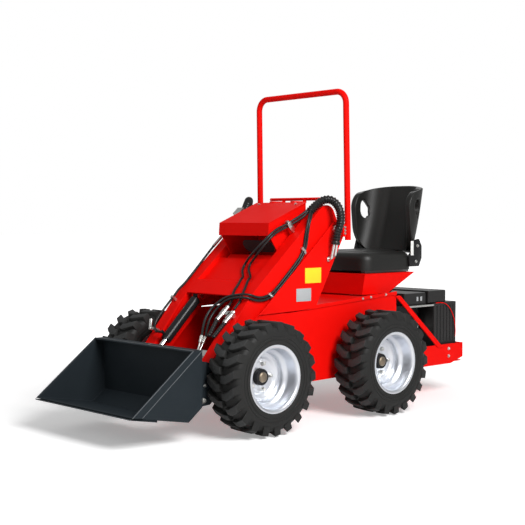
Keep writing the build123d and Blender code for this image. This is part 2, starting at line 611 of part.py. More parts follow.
# Seat base: sheet box, wider at the top, its rear wall sloping
base_z0, base_z1 = deck_z(deck_rear_y) + sheet + 0.2, 768.0
base_y0, base_y1, base_low_y1 = 563.0, 1015.0, 790.0
base_half, base_low_half = 250.0, 228.0


def base_solid(inset):
    """Side outline and front outline, crossed."""
    low, top = base_z0 - (1 if inset else 0), base_z1 - inset
    side = prism([(base_y0 + inset, low), (base_low_y1 - inset, low), (base_y1 - inset, top), (base_y0 + inset, top)],
                 -base_half, base_half)
    w, n = base_half - inset, base_low_half - inset
    front = extrude(Plane.XZ.offset(-base_y1) * make_face(Polyline((-n, low), (n, low), (w, top), (-w, top), close=True)),
                    base_y1 - base_y0)
    return side & front


nodes["seat_base"] = base_solid(0) - base_solid(sheet)
rails = box(150, 180, 640, 1040, base_z1, base_z1 + 14)
nodes["seat_rails"] = pair(rails)
cushion = box(-235, 235, 585, 1085, base_z1 + 14, 885)
cushion = fillet(cushion.edges().filter_by(Axis.Z), 60)
cushion = chamfer(cushion.faces().sort_by(Axis.Z)[-1].edges(), 22)

# Backrest: a rounded U in plan that leans back, its wings' front edges cut steeply, a hand-hole in each
back_z0, back_z1 = 850.0, 1292.0
back_low_y, back_top_rear = 1107.0, 1215.0
back_half, back_wall = 238.0, 50.0
wing_low_y, wing_top_y = 1004.0, 960.0
wing_round = 110.0
lean = Vector(0, back_top_rear - back_low_y, back_z1 - back_z0)
plan_mid = back_low_y - 150
plan = Pos(0, plan_mid) * RectangleRounded(2 * back_half, 300, wing_round)
plan -= Pos(0, plan_mid - back_wall) * RectangleRounded(2 * (back_half - back_wall), 300, wing_round - back_wall)
backrest = extrude(Plane.XY.offset(back_z0) * plan, lean.length, dir=lean.normalized())
backrest -= prism([(plan_mid - 400, back_z0 - 10), (wing_low_y, back_z0), (wing_top_y, back_z1), (wing_top_y, back_z1 + 10),
                   (plan_mid - 400, back_z1 + 10)], -back_half - 10, back_half + 10)
hole = Plane.YZ.offset(-400) * (Pos(1075, 1150) * Rot(0, 0, -15) * SlotOverall(110, 50, rotation=90))
backrest -= extrude(hole, 800)
nodes["seat_cushion"] = cushion - backrest
nodes["seat_backrest"] = backrest

# Tail: tray, side plates, braces, engine and its boxes
tail_x = tower_x
tail_side = prism([(side_rear_y, 193), (1286, 193), (tail_y, 226), (tail_y, 315), (side_rear_y, 315)],
                  tail_x - plate, tail_x)
tray = box(-tail_x + plate, tail_x - plate, side_rear_y + 2, tail_y - plate, 200, 206)
rear_bar = box(-tail_x, tail_x, tail_y - plate, tail_y, 226, 315)
tail = pair(tail_side) + tray + rear_bar
nodes["tail_tray"] = tail
brace = prism([(745, deck_z(745) - 6), (790, deck_z(745) - 6), (1200, 300), (1150, 300)], tail_x, tail_x + plate)
nodes["tail_braces"] = pair(brace)
engine_rear_y, engine_top_z = 1130.0, 566.0
nodes["engine_block"] = box(-190, 190, 850, engine_rear_y, 206, engine_top_z)
cover_rear_y, cover_top_z = engine_rear_y - 20, engine_top_z + 74
nodes["engine_cover"] = box(-270, 270, 900, cover_rear_y, engine_top_z, cover_top_z)
nodes["cover_bar"] = box(240, 300, 902, engine_rear_y + 12, engine_top_z - 10, engine_top_z)
tank_side_gap, tank_front_gap, tank_rear_y, tank_top_z = 27.0, 31.0, 1383.0, 573.0
tank_half = tail_x - plate - tank_side_gap
tank_front_y = engine_rear_y + tank_front_gap
groove_w, groove_deep, groove_count = 9.0, 8.0, 6
tank = box(-tank_half, tank_half, tank_front_y, tank_rear_y, 206, tank_top_z)
groove_pitch = (tank_rear_y - tank_front_y) / (groove_count + 1)
for i in range(groove_count):
    y = tank_front_y + groove_pitch * (i + 1)
    groove = box(tank_half - groove_deep, tank_half + 1, y - groove_w / 2, y + groove_w / 2, 330, tank_top_z - 20)
    tank -= pair(groove)
nodes["rear_tank"] = tank
nodes["tank_cap"] = box(5 - tank_half, tank_half - 5, cover_rear_y + 5, 1290, tank_top_z, tank_top_z + 75)
nodes["air_filter"] = rod((-120, 935, 668), (120, 935, 668), 28) + box(-100, 100, 920, 950, 640, 660)

os.makedirs("parts", exist_ok=True)
for name, shape in nodes.items():
    moved = Pos(0, plan_shift, 0) * shape
    moved.label = name
    export_step(moved, "parts/" + name + ".step")
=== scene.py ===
import bmesh
import bpy
import json
import math
from mathutils import Matrix, Vector


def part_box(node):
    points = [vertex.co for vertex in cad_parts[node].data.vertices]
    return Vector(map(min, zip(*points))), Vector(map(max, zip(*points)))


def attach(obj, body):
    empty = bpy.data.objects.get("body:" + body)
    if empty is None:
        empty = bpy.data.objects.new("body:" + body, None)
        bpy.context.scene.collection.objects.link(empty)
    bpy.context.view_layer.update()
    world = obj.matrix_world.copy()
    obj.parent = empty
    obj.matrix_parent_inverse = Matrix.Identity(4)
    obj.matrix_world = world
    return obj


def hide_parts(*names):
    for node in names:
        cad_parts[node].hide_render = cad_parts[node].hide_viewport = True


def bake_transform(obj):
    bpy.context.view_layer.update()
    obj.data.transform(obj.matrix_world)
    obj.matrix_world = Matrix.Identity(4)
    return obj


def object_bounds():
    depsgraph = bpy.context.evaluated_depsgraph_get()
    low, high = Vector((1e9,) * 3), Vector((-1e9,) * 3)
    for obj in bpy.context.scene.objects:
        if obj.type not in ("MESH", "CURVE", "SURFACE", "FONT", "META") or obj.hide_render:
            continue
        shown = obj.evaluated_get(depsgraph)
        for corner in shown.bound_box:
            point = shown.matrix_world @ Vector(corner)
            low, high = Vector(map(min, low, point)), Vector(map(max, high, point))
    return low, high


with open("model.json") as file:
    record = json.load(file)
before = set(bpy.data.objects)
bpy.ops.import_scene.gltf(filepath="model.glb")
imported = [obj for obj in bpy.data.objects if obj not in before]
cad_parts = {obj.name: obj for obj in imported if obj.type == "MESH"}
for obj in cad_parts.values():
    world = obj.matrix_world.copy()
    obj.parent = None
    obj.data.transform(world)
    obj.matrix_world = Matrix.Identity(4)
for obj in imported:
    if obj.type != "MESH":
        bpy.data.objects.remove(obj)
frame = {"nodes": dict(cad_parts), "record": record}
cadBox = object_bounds()
nodes = frame["nodes"]
print("stage: frame loaded,", len(nodes), "nodes")

# Camera: the photograph's viewing angle, solved from the wheels, the bucket and the hoop
cameraSet = {
    "place": Vector((4.49625, -4.30848, 1.08827)),
    "azimuth": math.radians(46.9275),
    "down": math.radians(2.2657),
    "focalPixels": 1099.94,
    "photoSide": 525,
    "sensor": 36.0,
    "farClip": 200,
}


def makeCamera():
    data = bpy.data.cameras.new("photoCamera")
    data.sensor_fit = "HORIZONTAL"
    data.sensor_width = cameraSet["sensor"]
    data.lens = cameraSet["focalPixels"] / cameraSet["photoSide"] * cameraSet["sensor"]
    data.clip_end = cameraSet["farClip"]
    camera = bpy.data.objects.new("photoCamera", data)
    camera.location = cameraSet["place"]
    camera.rotation_euler = (math.pi / 2 - cameraSet["down"], 0, cameraSet["azimuth"])
    bpy.context.scene.collection.objects.link(camera)
    bpy.context.scene.camera = camera


# Shader building blocks
def addNode(tree, kind, **inputs):
    node = tree.nodes.new(kind)
    for key, value in inputs.items():
        node.inputs[key.replace("_", " ")].default_value = value
    return node


# The value, 0 to 1, stretched between low and high
def spanOutput(tree, value, low, high):
    span = addNode(tree, "ShaderNodeMapRange", To_Min=low, To_Max=high)
    tree.links.new(value, span.inputs["Value"])
    return span.outputs["Result"]


def setInput(material, name, output):
    material.node_tree.links.new(output, material.node_tree.nodes["Principled BSDF"].inputs[name])


def newMaterial(name, color, roughness, metallic=0.0, coat=0.0, gloss=0.5):
    material = bpy.data.materials.new(name)
    material.use_nodes = True
    shader = material.node_tree.nodes["Principled BSDF"]
    shader.inputs["Base Color"].default_value = (*color, 1)
    shader.inputs["Roughness"].default_value = roughness
    shader.inputs["Metallic"].default_value = metallic
    shader.inputs["Coat Weight"].default_value = coat
    shader.inputs["Specular IOR Level"].default_value = gloss
    material.diffuse_color = (*color, 1)
    return material


# Light: a dim white world, one soft key over the machine's left side, a front fill and a rear rim
worldLight = 0.2
mirrorShare = 0.3
lightAim = Vector((0, 0, 0.6))
lightSet = (
    {"name": "keyLight", "place": (5.5, -1.2, 4.6), "size": 3.0, "power": 520},
    {"name": "frontFill", "place": (-1.5, -6.5, 3.6), "size": 4.0, "power": 60},
    {"name": "rearRim", "place": (-3.5, 4.5, 4.0), "size": 3.0, "power": 30},
)


# One value where the camera looks straight at it, another where it lights the machine,
# and a share of the way between them where the machine mirrors it
def seenOrLit(tree, seen, lit):
    path = tree.nodes.new("ShaderNodeLightPath")
    mirrored = tree.nodes.new("ShaderNodeMath")
    mirrored.operation = "MULTIPLY_ADD"
    mirrored.inputs[1].default_value = mirrorShare
    tree.links.new(path.outputs["Is Glossy Ray"], mirrored.inputs[0])
    tree.links.new(path.outputs["Is Camera Ray"], mirrored.inputs[2])
    return spanOutput(tree, mirrored.outputs["Value"], lit, seen)


def makeLights():
    for item in lightSet:
        data = bpy.data.lights.new(item["name"], "AREA")
        data.shape = "SQUARE"
        data.size = item["size"]
        data.energy = item["power"]
        light = bpy.data.objects.new(item["name"], data)
        light.location = item["place"]
        light.rotation_euler = (lightAim - light.location).to_track_quat("-Z", "Y").to_euler()
        bpy.context.scene.collection.objects.link(light)
    world = bpy.data.worlds.new("studioWorld")
    world.use_nodes = True
    tree = world.node_tree
    background = tree.nodes["Background"]
    background.inputs["Color"].default_value = (1, 1, 1, 1)
    tree.links.new(seenOrLit(tree, 1.0, worldLight), background.inputs["Strength"])
    bpy.context.scene.world = world
    bpy.context.scene.view_settings.view_transform = "Standard"


# Two scales of soft cloud between 0 and 1: dust, wear and uneven gloss
mottleSet = {"Fine": (120.0, 4.0), "Broad": (5.0, 3.0)}  # scale and detail of each
mottleRoughness = 0.55


def mottleGroup():
    group = bpy.data.node_groups.new("mottle", "ShaderNodeTree")
    group.interface.new_socket("Vector", in_out="INPUT", socket_type="NodeSocketVector")
    for label in mottleSet:
        group.interface.new_socket(label, in_out="OUTPUT", socket_type="NodeSocketFloat")
    source, sink = group.nodes.new("NodeGroupInput"), group.nodes.new("NodeGroupOutput")
    for label, (scale, detail) in mottleSet.items():
        noise = addNode(group, "ShaderNodeTexNoise", Scale=scale, Detail=detail, Roughness=mottleRoughness)
        group.links.new(source.outputs["Vector"], noise.inputs["Vector"])
        group.links.new(noise.outputs["Fac"], sink.inputs[label])
    return group


mottle = mottleGroup()


def useMottle(material):
    tree = material.node_tree
    place = tree.nodes.new("ShaderNodeTexCoord")
    group = tree.nodes.new("ShaderNodeGroup")
    group.node_tree = mottle
    tree.links.new(place.outputs["Object"], group.inputs["Vector"])
    return group


def addBump(material, height, strength, distance):
    tree = material.node_tree
    bump = addNode(tree, "ShaderNodeBump", Strength=strength, Distance=distance)
    tree.links.new(height, bump.inputs["Height"])
    setInput(material, "Normal", bump.outputs["Normal"])


# The Mix node names its sockets alike for every data type, so the colour ones go by number
mixSockets = {"factor": 0, "first": 6, "second": 7, "result": 2}


def mixColors(material, factor, first, second):
    tree = material.node_tree
    mix = tree.nodes.new("ShaderNodeMix")
    mix.data_type = "RGBA"
    mix.inputs[mixSockets["first"]].default_value = (*first, 1)
    mix.inputs[mixSockets["second"]].default_value = (*second, 1)
    tree.links.new(factor, mix.inputs[mixSockets["factor"]])
    return mix.outputs[mixSockets["result"]]


# Kinds of finish: which cloud moves the tone and which the gloss, how far the roughness goes
# either way, and the depth of the bump in metres
finishSet = {
    "paint": {"tone": "Broad", "sheen": "Broad", "smoother": 0.05, "rougher": 0.08, "depth": 0.0006,
              "metallic": 0.0, "gloss": 0.06},
    "metal": {"tone": "Broad", "sheen": "Fine", "smoother": 0.06, "rougher": 0.1, "depth": 0.0005,
              "metallic": 1.0, "gloss": 0.5},
    "rubber": {"tone": "Fine", "sheen": "Broad", "smoother": 0.08, "rougher": 0.06, "depth": 0.0008,
               "metallic": 0.0, "gloss": 0.28},
}

# Record slot or own key: kind, name, the two tones, roughness, grain and, where lacquered, the coat
materialSet = {
    "red_paint": ("paint", "redPaint", (0.80, 0.004, 0.002), (0.74, 0.003, 0.0015), 0.48, 0.06),
    "bucket_paint": ("paint", "bucketPaint", (0.021, 0.027, 0.032), (0.016, 0.021, 0.025), 0.45, 0.06),
    "black_paint": ("paint", "blackPaint", (0.012, 0.012, 0.013), (0.018, 0.018, 0.019), 0.38, 0.06, 0.2),
    "deck_steel": ("paint", "deckSteel", (0.16, 0.16, 0.17), (0.11, 0.11, 0.12), 0.5, 0.06),
    "tyre_rubber": ("rubber", "tyreRubber", (0.007, 0.007, 0.0066), (0.014, 0.014, 0.0133), 0.6, 0.25),
    "rim_zinc": ("metal", "rimZinc", (0.78, 0.80, 0.84), (0.58, 0.60, 0.64), 0.36, 0.1),
    "rod_chrome": ("metal", "rodChrome", (0.80, 0.81, 0.83), (0.76, 0.77, 0.79), 0.10, 0.0),
    "pin_steel": ("metal", "pinSteel", (0.66, 0.66, 0.64), (0.52, 0.52, 0.50), 0.28, 0.05),
    "rail_steel": ("metal", "railSteel", (0.30, 0.30, 0.30), (0.22, 0.22, 0.22), 0.42, 0.05),
    "seat_vinyl": ("rubber", "seatVinyl", (0.0085, 0.0085, 0.008), (0.013, 0.013, 0.012), 0.42, 0.3),
    "engine_plastic": ("rubber", "enginePlastic", (0.010, 0.0095, 0.0095), (0.016, 0.015, 0.015), 0.4, 0.15),
    "hose_rubber": ("rubber", "hoseRubber", (0.010, 0.010, 0.010), (0.018, 0.018, 0.018), 0.36, 0.1),
    "sleeveRubber": ("rubber", "sleeveRubber", (0.009, 0.009, 0.009), (0.016, 0.016, 0.016), 0.3, 0.05),
    # lighter rubber on the lugs' outward faces
    "tyreLugTop": ("rubber", "tyreLugTop", (0.042, 0.043, 0.043), (0.020, 0.0205, 0.0205), 0.66, 0.4),
    "bronze": ("metal", "hubBronze", (0.30, 0.24, 0.17), (0.20, 0.17, 0.13), 0.4, 0.1),
    # lighter grey that paints the highlight along the bucket's edges
    "edgeHighlight": ("paint", "edgeHighlight", (0.13, 0.14, 0.15), (0.08, 0.088, 0.095), 0.35, 0.06),
    # near-black plate that paints the shade inside the hood's slot
    "slotShade": ("rubber", "slotShade", (0.006, 0.003, 0.003), (0.012, 0.004, 0.004), 0.7, 0.0),
    "labelYellow": ("paint", "labelYellow", (0.88, 0.62, 0.03), (0.84, 0.58, 0.03), 0.4, 0.06),
    "labelGrey": ("paint", "labelGrey", (0.42, 0.43, 0.44), (0.36, 0.37, 0.38), 0.35, 0.06),
    "labelWhite": ("paint", "labelWhite", (0.78, 0.78, 0.76), (0.72, 0.72, 0.70), 0.45, 0.06),
}


# The colour drifts between its two tones, and the grain is the bump's strength
def finishMaterial(kind, name, color, shade, roughness, grain, coat=0.0):
    finish = finishSet[kind]
    material = newMaterial(name, color, roughness, finish["metallic"], coat, finish["gloss"])
    clouds = useMottle(material).outputs
    setInput(material, "Base Color", mixColors(material, clouds[finish["tone"]], color, shade))
    low, high = roughness - finish["smoother"], roughness + finish["rougher"]
    setInput(material, "Roughness", spanOutput(material.node_tree, clouds[finish["sheen"]], low, high))
    addBump(material, clouds["Fine"], grain, finish["depth"])
    return material


# Plates and boxes whose edges are rounded a little, so that they catch the light
edgeSet = {
    "weld": 0.00001,
    "segments": 3,
    "sharpFrom": math.radians(35),
    "width": 0.0018,
    "rounder": {"rear_tank": 0.016, "tank_cap": 0.012, "engine_cover": 0.016, "engine_block": 0.008,
                "bucket_shell": 0.003, "bucket_edge": 0.003, "console_hood": 0.003},
    "nodes": ("bucket_shell", "bucket_edge", "bucket_sides", "console_hood", "console_core", "tower_left",
              "tower_right", "deck", "seat_base", "boom_arm_left", "boom_arm_right", "boom_cross_plate",
              "tail_tray", "tail_braces", "engine_block", "engine_cover", "rear_tank", "tank_cap",
              "hitch_cheeks", "lift_feet"),
}


# Each CAD node takes the finish of its record slot
def dressNodes():
    slots = {row["node"]: row["material_slot"] for row in frame["record"]["subparts"]}
    for name, item in nodes.items():
        item.data.materials.clear()
        item.data.materials.append(materials[slots[name]])
        if name in edgeSet["nodes"]:
            weld = item.modifiers.new("weld", "WELD")
            weld.merge_threshold = edgeSet["weld"]
            soften = item.modifiers.new("softEdges", "BEVEL")
            soften.width = edgeSet["rounder"].get(name, edgeSet["width"])
            soften.segments = edgeSet["segments"]
            soften.limit_method, soften.angle_limit = "ANGLE", edgeSet["sharpFrom"]
            soften.harden_normals = True


floorSet = {
    "half": 60,
    "below": 0.0005,
    "color": (0.93, 0.93, 0.93),
    "roughness": 0.9,
    # The paper's own glow for the camera, by distance from the machine's middle in metres
    "glow": {"From Min": 1.3, "From Max": 4.5, "To Min": 0.30, "To Max": 1.0},
}


def makeFloor():
    mesh = bpy.data.meshes.new("studioFloor")
    shape = bmesh.new()
    bmesh.ops.create_grid(shape, x_segments=1, y_segments=1, size=floorSet["half"])
    shape.to_mesh(mesh)
    shape.free()
    floor = bpy.data.objects.new("studioFloor", mesh)
    floor.location.z = cadBox[0][2] - floorSet["below"]
    material = newMaterial("floorPaper", floorSet["color"], floorSet["roughness"])
    tree = material.node_tree
    tree.nodes["Principled BSDF"].inputs["Emission Color"].default_value = (1, 1, 1, 1)
    place, far = tree.nodes.new("ShaderNodeTexCoord"), tree.nodes.new("ShaderNodeVectorMath")
    far.operation = "LENGTH"
    tree.links.new(place.outputs["Object"], far.inputs[0])
    fade = tree.nodes.new("ShaderNodeMapRange")
    for label, value in floorSet["glow"].items():
        fade.inputs[label].default_value = value
    tree.links.new(far.outputs["Value"], fade.inputs["Value"])
    glow = tree.nodes.new("ShaderNodeMath")
    glow.operation = "MULTIPLY"
    tree.links.new(fade.outputs["Result"], glow.inputs[0])
    tree.links.new(seenOrLit(tree, 1.0, 0.0), glow.inputs[1])
    setInput(material, "Emission Strength", glow.outputs["Value"])
    mesh.materials.append(material)
    bpy.context.scene.collection.objects.link(floor)


# Building helpers: places are millimetres of the machine, with Y from midway between the axles
planShift = -88.0
onAxis = 0.01  # the radius that closes a turned piece's end, in millimetres
flatSmooth = 0.5  # angle in radians up to which plates and bolts stay smooth


def spot(x, y, z):
    return Vector((x, y + planShift, z)) / 1000


# A finished mesh: look is one material or a list, and edges sharper than smooth stay sharp
def meshObject(name, shape, body, look, smooth=flatSmooth):
    mesh = bpy.data.meshes.new(name)
    bmesh.ops.recalc_face_normals(shape, faces=shape.faces)
    shape.to_mesh(mesh)
    shape.free()
    for item in look if isinstance(look, list) else [look]:
        mesh.materials.append(item)
    piece = bpy.data.objects.new(name, mesh)
    bpy.context.scene.collection.objects.link(piece)
    mesh.shade_smooth()
    mesh.set_sharp_from_angle(angle=smooth)
    if body:
        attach(piece, body)
    return piece


def aimMatrix(start, end):
    return Matrix.Translation(start) @ (end - start).to_track_quat("Z", "Y").to_matrix().to_4x4()


def edgesOf(verts):
    return list({edge for vert in verts for edge in vert.link_edges})


def bevelEdges(shape, edges, width, segments):
    bmesh.ops.bevel(shape, geom=edges, offset=width, offset_type="OFFSET", segments=segments, profile=0.5,
                    affect="EDGES", material=-1)


# A face on these vertices, raised to a solid: the vertices of its upper side
def raiseFace(shape, floor):
    grown = bmesh.ops.extrude_face_region(shape, geom=[shape.faces.new(floor)])["geom"]
    return [item for item in grown if isinstance(item, bmesh.types.BMVert)]


# What is tagged is in its place, and the next turned piece leaves it there
def keepPlaces(shape):
    for vert in shape.verts:
        vert.tag = True


# Block with softened edges; turn is a matrix that places it
def addBlock(shape, low, high, edge, turn=Matrix()):
    middle, size = (low + high) / 2, high - low
    made = bmesh.ops.create_cube(shape, size=1,
                                 matrix=turn @ Matrix.Translation(middle) @ Matrix.Diagonal((*size, 1)))
    bevelEdges(shape, edgesOf(made["verts"]), edge, 2)


# A full turn of an outline about an axis through the origin
def spinOutline(shape, places, axis, steps, closed):
    verts = [shape.verts.new(place) for place in places]
    pairs = list(zip(verts, verts[1:])) + ([(verts[-1], verts[0])] if closed else [])
    edges = [shape.edges.new(pair) for pair in pairs]
    bmesh.ops.spin(shape, geom=verts + edges, cent=(0, 0, 0), axis=axis, angle=2 * math.pi, steps=steps,
                   use_merge=True)


# Turned about the wheel's axle: rows of (X, radius) in millimetres
def spinX(shape, rows, steps, closed=True):
    spinOutline(shape, [(x / 1000, 0, r / 1000) for x, r in rows], (1, 0, 0), steps, closed)


# Turned piece from start towards end: rows of (distance along, radius) in millimetres
def addTurned(shape, start, end, rows, steps):
    spinOutline(shape, [(r / 1000, 0, d / 1000) for d, r in rows], (0, 0, 1), steps, False)
    bmesh.ops.transform(shape, matrix=aimMatrix(start, end), verts=[v for v in shape.verts if not v.tag])
    keepPlaces(shape)


# Hexagon head on a washer, as shares of the bolt's size
boltShape = {"washer": 1.25, "washerTop": 0.9, "washerHigh": 0.18, "head": 0.95, "headHigh": 0.8,
             "edge": 0.09, "steps": 20}


def addBolt(shape, place, out, size):
    wide, top, high = (size * 1000 * boltShape[key] for key in ("washer", "washerTop", "washerHigh"))
    washer = ((0, onAxis), (0, wide), (high, wide), (high, top))
    addTurned(shape, place, place + out, washer, boltShape["steps"])
    base = place + out * size * boltShape["washerHigh"]
    radius, depth = size * boltShape["head"], size * boltShape["headHigh"]
    head = bmesh.ops.create_cone(shape, cap_ends=True, segments=6, radius1=radius, radius2=radius, depth=depth,
                                 matrix=aimMatrix(base, base + out) @ Matrix.Translation((0, 0, depth / 2)))
    bevelEdges(shape, edgesOf(head["verts"]), size * boltShape["edge"], 1)
    keepPlaces(shape)


def boltRow(name, places, out, size, body):
    shape = bmesh.new()
    for place in places:
        addBolt(shape, spot(*place), Vector(out), size)
    meshObject(name, shape, body, materials["pin_steel"])


# Wheels: tyre with slanted lugs, stepped rim, hub with its nuts; sections are (X, radius)
tyreSet = {
    "carcass": ((84, 155), (90, 162), (97, 171), (102, 188), (105, 210), (104, 236), (97, 254), (84, 264),
                (44, 268)),
    "turns": 96,
    "ribs": ((103.6, 196, 2.0), (105.2, 214, 1.6)),  # X, radius and height of the sidewall's raised rings
    "ribRoot": (1.5, 3.0),  # how deep and how wide a ring stands in the wall
    "ribCrest": 1.2,
    "lugs": 21,
    "lugPlan": ((3, -24), (34, -29), (68, -13), (101, 10), (101, 54), (64, 34), (28, 15), (3, 15)),
    "lugRoot": 266,
    "lugTop": 287,
    "lugFall": 4.0,  # how much lower the lug's top is at the shoulder
    "lugTaper": (0.95, 0.88),
    "lugEdge": 0.0035,
    "shoulderFrom": 100,
    "shoulder": (105, 236),
    "lugTopFrom": 0.8,  # faces of a lug that point outwards by more than this take the lighter lug-top rubber
}


def buildLug():
    lug = bmesh.new()
    plan, root, top = tyreSet["lugPlan"], tyreSet["lugRoot"], tyreSet["lugTop"]
    floor = [lug.verts.new((x / 1000, y / 1000, root / 1000)) for x, y in plan]
    crown = raiseFace(lug, floor)
    middle = sum((v.co for v in crown), Vector()) / len(crown)
    reach = max(x for x, y in plan) / 1000
    for vert in crown:
        vert.co.z = (top - (vert.co.x / reach) ** 3 * tyreSet["lugFall"]) / 1000
        vert.co.x = middle.x + (vert.co.x - middle.x) * tyreSet["lugTaper"][0]
        vert.co.y = middle.y + (vert.co.y - middle.y) * tyreSet["lugTaper"][1]
    # The outer end reaches down the tyre's shoulder
    for vert in floor:
        if vert.co.x > tyreSet["shoulderFrom"] / 1000:
            vert.co.x, vert.co.z = (value / 1000 for value in tyreSet["shoulder"])
    topFace = next(f for f in lug.faces if all(v in crown for v in f.verts))
    bmesh.ops.recalc_face_normals(lug, faces=lug.faces)
    bevelEdges(lug, list(topFace.edges), tyreSet["lugEdge"], 2)
    for face in lug.faces:
        face.material_index = 1 if face.normal.z > tyreSet["lugTopFrom"] else 0
    return lug


def buildTyre():
    shape = bmesh.new()
    half = tyreSet["carcass"]
    spinX(shape, half + tuple((-x, r) for x, r in reversed(half)), tyreSet["turns"])
    deep, wide = tyreSet["ribRoot"]
    crest = tyreSet["ribCrest"]
    for x, r, high in tyreSet["ribs"]:
        section = ((x - deep, r - wide), (x + high, r - crest), (x + high, r + crest), (x - deep, r + wide))
        for side in (-1, 1):
            spinX(shape, [(side * a, b) for a, b in section], tyreSet["turns"], False)
    # Lugs on the far side stand half a step on
    for side, shift in ((1, 0.0), (-1, 0.5)):
        lug = buildLug()
        if side < 0:
            bmesh.ops.scale(lug, vec=(-1, 1, 1), verts=lug.verts)
            bmesh.ops.reverse_faces(lug, faces=lug.faces)
        mesh = bpy.data.meshes.new("lug")
        for i in range(tyreSet["lugs"]):
            one = lug.copy()
            turn = Matrix.Rotation(2 * math.pi * (i + shift) / tyreSet["lugs"], 4, "X")
            bmesh.ops.transform(one, matrix=turn, verts=one.verts)
            one.to_mesh(mesh)
            one.free()
            shape.from_mesh(mesh)
        lug.free()
        bpy.data.meshes.remove(mesh)
    return shape


rimSet = {
    "section": ((84, 155), (90, 158), (94, 169), (96, 172), (98.5, 172), (99, 168), (97, 160), (93, 154),
                (84, 151), (60, 150), (34, 149), (27, 146), (21, 136), (14, 128), (6, 126), (-9, 126),
                (-9, 112), (-12, 104), (-19, 96), (-23, 88), (-23, 44), (-25, 42.6), (-31, 42.6), (-31, 92),
                (-24, 104), (-17, 126), (-41, 126), (-53, 149), (-90, 151), (-97, 160), (-97, 172), (-94, 172),
                (-90, 158), (-84, 155)),
    "turns": 80,
    "stemFoot": Vector((-0.009, 0.0, -0.117)),
    "stem": ((0, onAxis), (0, 4.5), (6, 4.5), (7, 3), (24, 3), (25, 2), (25, onAxis)),
    "stemSides": 12,
}


def buildRim():
    shape = bmesh.new()
    spinX(shape, rimSet["section"], rimSet["turns"])
    keepPlaces(shape)
    # Valve stem through the disc's outer ring
    foot = rimSet["stemFoot"]
    addTurned(shape, foot, foot + Vector((1, 0, 0)), rimSet["stem"], rimSet["stemSides"])
    return shape


hubSet = {
    "section": ((-31, onAxis), (-31, 42), (-2, 42), (2, 39), (3, 30), (3, 27), (8, 25), (11, 20), (12, onAxis)),
    "turns": 48,
    "bronzeFrom": 0.0034,  # the cap, from this X outwards
    "studs": 5,
    "firstStud": 0.25,  # share of a step between studs
    "studX": -23.0,
    "studCircle": 70.0,
    "stud": ((0, onAxis), (0, 13), (3, 12), (3, 6), (19, 6), (20, 5), (20, onAxis)),
    "studSides": 14,
    "nut": {"radius1": 0.0115, "radius2": 0.0105, "depth": 0.012},
    "nutUp": 0.009,
}


def buildHub():
    shape = bmesh.new()
    spinX(shape, hubSet["section"], hubSet["turns"], False)
    keepPlaces(shape)
    for face in shape.faces:
        face.material_index = 1 if face.calc_center_median().x > hubSet["bronzeFrom"] else 0
    before = set(shape.faces)
    # Coned nuts with their studs
    for i in range(hubSet["studs"]):
        turn = 2 * math.pi * (i + hubSet["firstStud"]) / hubSet["studs"]
        circle = hubSet["studCircle"]
        place = Vector((hubSet["studX"], circle * math.sin(turn), circle * math.cos(turn))) / 1000
        out = place + Vector((1, 0, 0))
        addTurned(shape, place, out, hubSet["stud"], hubSet["studSides"])
        lift = Matrix.Translation((0, 0, hubSet["nutUp"]))
        bmesh.ops.create_cone(shape, cap_ends=True, segments=6, matrix=aimMatrix(place, out) @ lift,
                              **hubSet["nut"])
        keepPlaces(shape)
    for face in set(shape.faces) - before:
        face.material_index = 2
    return shape


# Each kind of wheel piece: how it is built, and its finishes, the first of which is its slot
wheelSet = {
    "tyre": (buildTyre, ("tyre_rubber", "tyreLugTop")),
    "rim": (buildRim, ("rim_zinc",)),
    "hub": (buildHub, ("black_paint", "bronze", "pin_steel")),
}
wheelSmooth = 0.7


def makeWheels():
    for end in ("front", "rear"):
        for side, sign in (("left", 1), ("right", -1)):
            name = end + "_" + side
            low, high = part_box("tyre_" + name)
            middle = (Vector(low) + Vector(high)) / 2
            for kind, (build, looks) in wheelSet.items():
                shape = build()
                bmesh.ops.scale(shape, vec=(sign, 1, 1), verts=shape.verts)
                bmesh.ops.translate(shape, vec=middle, verts=shape.verts)
                piece = meshObject(kind + "Piece_" + name, shape, "wheel_" + name,
                                   [materials[look] for look in looks], wheelSmooth)
                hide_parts(kind + "_" + name)
    print("stage: wheels")


# Corrugated sleeves beside the boom's pivot, mirrored, each along its smooth route
sleeveSet = {
    "route": ((366, 188, 948), (371, 192, 1003), (386, 212, 1070), (376, 214, 1148), (332, 186, 1202),
              (287, 135, 1183), (268, 92, 1133)),
    "ridge": 25.0,
    "groove": 19.5,
    "pitch": 15.0,
    "sides": 24,
    "smooth": 1.2,
    # (Y, Z) where the sleeve passes from the machine to the boom
    "machineEnd": (230, 1080),
    "boomEnd": (120, 1150),
}


# Points along a NURBS curve of order 3 through the route
def smoothLine(name, route):
    data = bpy.data.curves.new(name, "CURVE")
    data.dimensions = "3D"
    data.resolution_u = 24
    line = data.splines.new("NURBS")
    line.points.add(len(route) - 1)
    for point, place in zip(line.points, route):
        point.co = (*place, 1)
    line.order_u = 3
    line.use_endpoint_u = True
    holder = bpy.data.objects.new(name, data)
    mesh = bpy.data.meshes.new_from_object(holder)
    points = [v.co.copy() for v in mesh.vertices]
    bpy.data.objects.remove(holder)
    bpy.data.curves.remove(data)
    bpy.data.meshes.remove(mesh)
    return points


# Even steps along a line of points: (place, direction) rows
def evenSteps(points, step):
    rows, left = [(points[0], (points[1] - points[0]).normalized())], step
    for a, b in zip(points, points[1:]):
        run, along = (b - a).length, (b - a).normalized()
        done = 0.0
        while run - done >= left:
            done += left
            rows.append((a + along * done, along))
            left = step
        left -= run - done
    rows.append((points[-1], (points[-1] - points[-2]).normalized()))
    return rows


